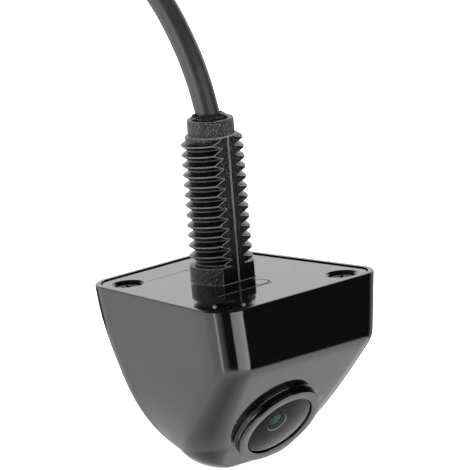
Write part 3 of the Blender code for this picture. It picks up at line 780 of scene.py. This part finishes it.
def plate_shape():
    """Cover plate with eased edge, its four sunk holes, and the marks that its mould leaves."""
    top = -PLATE_TOP
    rings = rounded_edge(PLATE_TOP, RIM + FIT_GAP, PLATE_EDGE, 3)
    rings.append(section(PLATE_BOTTOM, RIM + FIT_GAP))
    hole = ((0, -PLATE_BOTTOM - 1), (SHANK_HOLE_R, -PLATE_BOTTOM - 1), (SHANK_HOLE_R, top - HEAD_SEAT),
            (HEAD_HOLE_R, top - HEAD_SEAT), (HEAD_HOLE_R, top - 0.3), (2.02, top), (2.3, top + 0.05), (2.3, 1),
            (0, 1))
    holes = together(*[moved(turned(hole, 64), x, y) for x, y in SCREWS])
    line = block((-5.6, 7.36, top - 0.06), (0.7, 7.46, top + 1))
    ejector_ring = turned(((1.2, top - 0.1), (1.38, top - 0.1), (1.42, top + 1), (1.16, top + 1)), 48)
    dots = []
    for x, y, radius, flare, deep in ((9.1, -3.05, 0.1, 0.04, 0.08), (0.65, 7.5, 0.18, 0.06, 0.12)):
        pin = ((0, top - deep), (radius, top - deep), (radius + flare, top + 1), (0, top + 1))
        dots.append(moved(turned(pin, 16), x, y))
    tools = (holes, line, moved(ejector_ring, 1.05, -5.3), *dots)
    return carve(ring_loft(rings), *[("DIFFERENCE", tool) for tool in tools])


def paint_by_place(shape, choose):
    """Give each face the material number that choose returns for its centre."""
    for face in shape.faces:
        face.material_index = choose(face.calc_center_median())


def plate_and_stem_look(centre):
    """0 for the polished plate, 1 for the blasted collar and tip, 2 for the thread, 3 for the ridges that
    the mould left, which are painted pale as a painted highlight, and 4 for the flats."""
    reach = math.hypot(centre.x, centre.y)
    on_plate = reach > COLLAR_R + 0.4
    on_seam = abs(centre.x) < SEAM_R + 0.01 and centre.y < -FLAT - 0.005 and reach < FLAT + 0.2
    if on_seam or (on_plate and centre.z > -PLATE_TOP + 0.01):
        return 3
    if on_plate or centre.z < -PLATE_TOP + 0.02:
        return 0
    if abs(centre.y) > FLAT - 0.02:
        return 4
    return 2 if COLLAR_TOP + 0.05 < centre.z < THREAD_TOP - 0.6 else 1


def make_stem_plate(looks):
    bottom, top = -PLATE_TOP + 0.02, STEM_TOP + 1
    flats = together(block((-5, -6, bottom), (5, -FLAT, top)), block((-5, FLAT, bottom), (5, 6, top)))
    seam = turned(((0, -PLATE_TOP), (SEAM_R, -PLATE_TOP), (SEAM_R, THREAD_TOP - 0.1), (0, THREAD_TOP)), 12)
    way = rod(STEM_BORE, -PLATE_BOTTOM - 2, 0.5, 120)
    witness = block((-6.8, -6.83, -PLATE_TOP - 0.1), (1.9, -6.73, -PLATE_TOP + 0.05), bevel=0.03)
    stem = carve(stem_shape(), ("DIFFERENCE", flats), ("UNION", moved(seam, 0, -FLAT + SEAM_SINK)))
    shape = carve(plate_shape(), ("UNION", witness), ("UNION", stem), ("DIFFERENCE", way))
    paint_by_place(shape, plate_and_stem_look)
    piece("stem_plate_skin", shape, [looks[name] for name in ("gloss", "blasted", "thread", "seam", "flat")],
          ("stem_plate",), sharp=12)


def make_screws(looks):
    """Pan-head screws with a cross recess, each turned its own way."""
    top = -PLATE_TOP - 0.35
    under = -PLATE_TOP - 1.15
    head = eased(((0, top), (1.5, top), (1.5, under), (0.8, under), (0.8, -6.6), (0.45, -7.0), (0, -7.0)),
                 0.22)
    for number, (x, y) in enumerate(SCREWS, 1):
        cross = [block((-0.85, -0.17, top - 0.55), (0.85, 0.17, top + 0.2), Matrix.Rotation(turn, 4, "Z"))
                 for turn in (0.4 * number, 0.4 * number + math.pi / 2)]
        shape = carve(turned(head, 48), *[("DIFFERENCE", tool) for tool in cross])
        piece(f"cover_screw_{number}_head", moved(shape, x, y), looks["screw"], (f"cover_screw_{number}",))


# ---------------------------------------------------------------- lens


def cap(radius, edge, rise, steps=10):
    """Profile of a shallow dome from the axis out to its edge."""
    ball = (radius**2 + rise**2) / (2 * rise)
    reach = math.asin(radius / ball)
    return [(ball * math.sin(reach * k / steps), edge + rise - ball * (1 - math.cos(reach * k / steps)))
            for k in range(steps + 1)]


def front_glass_look(centre):
    """0 for the dome, 1 for the blackened underside, 2 for the bright edge of its opening and 3 for the
    opening."""
    if centre.z > 17.2:
        return 0
    reach = math.hypot(centre.x, centre.y)
    if reach > LIP_R:
        return 1
    return 2 if reach > OPENING_R else 3


def make_lens(looks):
    lens = lens_frame()
    low = BOSS_TOP + 0.13
    barrel = ((BOSS_R, LENS_FACE), (BOSS_R, low), (5.05, low), (5.05, 13.4), (4.2, 13.2), (4.2, 8.3),
              (2.5, 8.3), (2.5, 14.4), (3.75, 14.4), (3.75, 16.0), (4.72, 16.0), (4.72, LENS_FACE))
    piece("lens_barrel_skin", turned(eased(barrel, 0.12), 160), looks["barrel"], ("lens_barrel",),
          at_frame=lens)
    under = [(GLASS_R, 16.8), (GLASS_R - 0.05, 16.75), (LIP_R, LIP_LEVEL), (OPENING_R, OPENING_LEVEL),
             (0, OPENING_LEVEL)]
    shape = turned(cap(GLASS_R, 17.45, 0.6, 14) + under, 128)
    paint_by_place(shape, front_glass_look)
    piece("front_glass_dome", shape, [looks[name] for name in ("glass", "paint", "lip", "bloomed")],
          ("front_glass",), at_frame=lens)
    hood = ((1.4, 14.75), (3.55, 14.75), (3.55, 15.9), (3.4, 16.05), (1.8, 16.05), (1.4, 15.7))
    piece("lens_hood_ring", turned(eased(hood, 0.08), 96), looks["hood"], ("lens_hood",),
          at_frame=lens)
    second = cap(1.3, 15.35, 0.65, 12) + [(1.3, 14.8), (1.2, 14.75), (0, 14.75)]
    piece("second_lens_dome", turned(second, 64), looks["coated"], ("second_lens",),
          at_frame=lens)


# ---------------------------------------------------------------- cord and plug


def smooth_route(points, spacing, steps=12):
    """Points along a centripetal Catmull-Rom curve through the route, about spacing apart."""
    points = [Vector(p) for p in points]
    points = [2 * points[0] - points[1]] + points + [2 * points[-1] - points[-2]]
    dense = []
    for a, b, c, d in zip(points, points[1:], points[2:], points[3:]):
        knots = [0.0]
        for left, right in ((a, b), (b, c), (c, d)):
            knots.append(knots[-1] + math.sqrt((right - left).length))
        for k in range(steps):
            t = knots[1] + (knots[2] - knots[1]) * k / steps
            low = [mix(p, q, knots[i], knots[i + 1], t)
                   for i, (p, q) in enumerate(((a, b), (b, c), (c, d)))]
            mid = [mix(low[0], low[1], knots[0], knots[2], t), mix(low[1], low[2], knots[1], knots[3], t)]
            dense.append(mix(mid[0], mid[1], knots[1], knots[2], t))
    dense.append(points[-2])
    return evenly(dense, spacing)


def mix(p, q, start, end, t):
    """Point on the line through p at start and q at end."""
    return p.lerp(q, (t - start) / (end - start))


def evenly(line, spacing):
    """Points along the line, all the same distance apart."""
    lengths = [0.0]
    for p, q in zip(line, line[1:]):
        lengths.append(lengths[-1] + (q - p).length)
    count = max(2, round(lengths[-1] / spacing))
    out = []
    spot = 0
    for k in range(count + 1):
        want = lengths[-1] * k / count
        while spot < len(line) - 2 and lengths[spot + 1] < want:
            spot += 1
        share = (want - lengths[spot]) / max(1e-9, lengths[spot + 1] - lengths[spot])
        out.append(line[spot].lerp(line[spot + 1], min(1.0, share)))
    return out


def ease_between(value, start, end):
    """0 up to start and 1 from end on, with a smooth rise between them."""
    t = min(1.0, max(0.0, (value - start) / (end - start)))
    return t * t * (3 - 2 * t)


def coil_route(per_turn=24):
    """Turns side by side and on each other: outer low, inner low, inner high, outer high, then over them."""
    x, y = COIL_CENTRE
    out = [(*COIL_START, COIL_LOW)]
    for k in range(int(COIL_END * per_turn / 360) + 1):
        turn = 360 * k / per_turn
        inward = ease_between(turn, *STEP_IN) - ease_between(turn, *STEP_OUT)
        radius = COIL_OUTER + (COIL_INNER - COIL_OUTER) * inward
        height = COIL_LOW + (COIL_HIGH - COIL_LOW) * ease_between(turn, *STEP_UP)
        height += (TAIL_LEVEL - COIL_HIGH) * ease_between(turn, *STEP_OVER)
        angle = math.radians(turn)
        out.append((x - radius * math.cos(angle), y + radius * math.sin(angle), height))
    return out


def tube_skin(points, radius, sides=20):
    """Skin of a round tube along the points, with flat ends; its sections never twist."""
    turns = [math.tau * i / sides for i in range(sides)]
    side = Vector((1, 0, 0))
    rings = []
    for k, point in enumerate(points):
        ahead = (points[min(k + 1, len(points) - 1)] - points[max(k - 1, 0)]).normalized()
        side = (side - ahead * side.dot(ahead)).normalized()
        other = ahead.cross(side)
        rings.append([point + (side * math.cos(t) + other * math.sin(t)) * radius for t in turns])
    return ring_loft(rings)


def make_cord(looks):
    """One jacketed cable from the stem's tip, over its arch and round its coil, to the plug, and the tie
    that holds the coil."""
    route = smooth_route(list(LEAD_ROUTE) + coil_route() + list(TAIL_ROUTE), 1.1)
    nodes = ("cord_lead", "cord_coil", "cord_tail")
    cord = piece("cord_jacket", tube_skin(route, CABLE_R), looks["cable"], nodes)
    low, high = COIL_LOW - CABLE_R, COIL_HIGH + CABLE_R
    inner, outer = COIL_INNER - CABLE_R, COIL_OUTER + CABLE_R
    opening = block((-3, inner - 0.12, low - 0.12), (3, outer + 0.12, high + 0.12), bevel=0.9)
    strap = carve(block((-1.25, inner - 0.5, low - 0.38), (1.25, outer + 0.5, high + 0.5), bevel=0.5),
                  ("DIFFERENCE", opening))
    head = block((-1.6, inner + 1.2, high + 0.4), (1.6, inner + 4.4, high + 1.6), bevel=0.25)
    spot = Matrix.Translation((*COIL_CENTRE, 0)) @ Matrix.Rotation(TIE_TURN, 4, "Z")
    piece("coil_tie_strap", together(strap, head), looks["tie"], ("coil_tie",),
          at_frame=spot)
    return cord, route


def make_sealant(looks):
    """Bead of potting round the cable, over the rim of the stem's tip, lumpy where it was left to set. It
    leans the way the cable does."""
    profile = eased(((1.46, STEM_TOP - 1.0), (1.8, STEM_TOP - 1.0), (1.8, STEM_TOP), (2.3, STEM_TOP),
                     (2.2, STEM_TOP + 0.16), (1.85, STEM_TOP + 0.42), (1.55, STEM_TOP + 0.6)), 0.12)
    shape = turned(profile, 72)
    for vert in shape.verts:
        lean = 0.5 * ease_between(vert.co.z, STEM_TOP - 0.5, STEM_TOP + 1.5)
        if vert.co.z > STEM_TOP - 0.1:
            lump = noise.noise(vert.co * 1.1) * 0.5 + noise.noise(vert.co * 3.1) * 0.22
            out = Vector((vert.co.x, vert.co.y, 0)).normalized()
            vert.co += out * max(-0.2, lump * 0.5) + Vector((0, 0, lump * 0.45))
        vert.co.y += lean
    piece("stem_potting", shape, looks["sealant"], ("stem_sealant",))


def make_plug(looks):
    """Strain relief with ribs, and the body that carries the coupling ring."""
    plug = plug_frame()
    boot = [(0, 0), (1.9, 0), (2.2, 0.6)]
    for k in range(BOOT_RIBS):
        low = 1.2 + 1.55 * k
        radius = 2.2 + 0.045 * (low + 0.4)
        boot += [(radius, low), (radius - 0.4, low + 0.2), (radius - 0.4, low + 0.65),
                 (radius + 0.03, low + 0.85)]
    boot += [(2.6, 9.0), (3.4, 9.6), (3.4, 12.7), (0, 12.7)]
    piece("plug_boot_ribs", turned(eased(boot, 0.12), 72), looks["rubber"], ("plug_boot",),
          at_frame=plug)
    body = ((0, 13.0), (4.2, 13.0), (4.85, 13.7), (4.85, 14.6), (4.6, 14.8), (4.6, 15.2), (4.85, 15.4),
            (4.85, 22.2), (5.25, 22.4), (5.25, 23.2), (4.3, 23.2), (4.3, 26.8), (3.5, 26.8), (3.5, 24.2),
            (0, 24.2))
    grips = [block((4.62, -0.35, 16.0), (5.2, 0.35, 20.0),
                   Matrix.Rotation(math.tau * k / BODY_GRIPS, 4, "Z"), 0.1) for k in range(BODY_GRIPS)]
    shape = carve(turned(eased(body, 0.12), 96), ("DIFFERENCE", together(*grips)))
    piece("plug_body_skin", shape, looks["plastic"], ("plug_body",), at_frame=plug)


def make_coupling_ring(looks):
    """Nut with rounded ridges between two plain bands, and an inner thread."""
    plain, ridged = 0, 1
    sections = (
        (20.6, 0.35, plain), (20.72, 0.12, plain), (20.9, 0.0, plain), (21.6, 0.0, plain), (21.8, 0.0, ridged),
        (30.6, 0.0, ridged), (30.8, 0.0, plain), (32.1, 0.0, plain), (32.28, 0.12, plain), (32.4, 0.35, plain),
    )
    around = 216
    rings = []
    for height, pull, rib in sections:
        ring = []
        for k in range(around):
            turn = math.tau * k / around
            wave = 0.5 - 0.5 * math.cos(turn * COUPLING_RIDGES)
            radius = COUPLING_R - COUPLING_BAND_DROP * (1 - rib) - pull - rib * COUPLING_RIDGE_DEPTH * wave**2
            ring.append((radius * math.cos(turn), radius * math.sin(turn), height))
        rings.append(ring)
    inside = [(0, 20.0), (5.05, 20.0), (5.05, 21.9), (5.5, 22.1), (5.5, 23.5), (5.1, 23.9)]
    inside += [(5.1 + 0.16 * (k % 2), 24.4 + 0.4 * k) for k in range(19)]
    inside += [(5.1, 32.0), (5.35, 33.0), (0, 33.0)]
    shape = carve(ring_loft(rings), ("DIFFERENCE", turned(inside, 96)))
    piece("coupling_ring_grip", shape, looks["plastic"], ("coupling_ring",), body="coupling_ring",
          at_frame=plug_frame())


# ---------------------------------------------------------------- CAD parts that stay


STAYING = {
    "cover_gasket": "rubber", "glass_seal": "rubber", "barrel_seal": "rubber", "aperture_ring": "hood",
    "third_lens": "optic", "rear_lens": "optic", "lens_holder": "plastic", "holder_screw_1": "screw",
    "holder_screw_2": "screw", "ir_filter": "filter", "image_sensor": "die", "sensor_board": "board",
    "board_header": "plastic", "power_board": "board", "regulator_coil": "ferrite", "wire_socket": "cream",
    "wire_plug": "cream", "power_wire": "red", "ground_wire": "black", "video_wire": "yellow",
    "trigger_wire": "green", "cable_in_stem": "cable", "contact_insert": "insert", "contact_1": "brass",
    "contact_2": "brass", "contact_3": "brass", "contact_4": "brass", "plug_seal": "seal",
}


def dress_cad_parts(looks):
    for node, look in STAYING.items():
        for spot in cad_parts[node].material_slots:
            spot.material = looks[look]


def main():
    looks = make_looks()
    make_camera()
    cord, route = make_cord(looks)
    make_world()
    make_floor_and_lamp()
    make_sealant(looks)
    make_housing(looks)
    make_stem_plate(looks)
    make_screws(looks)
    make_lens(looks)
    make_plug(looks)
    make_coupling_ring(looks)
    dress_cad_parts(looks)


main()
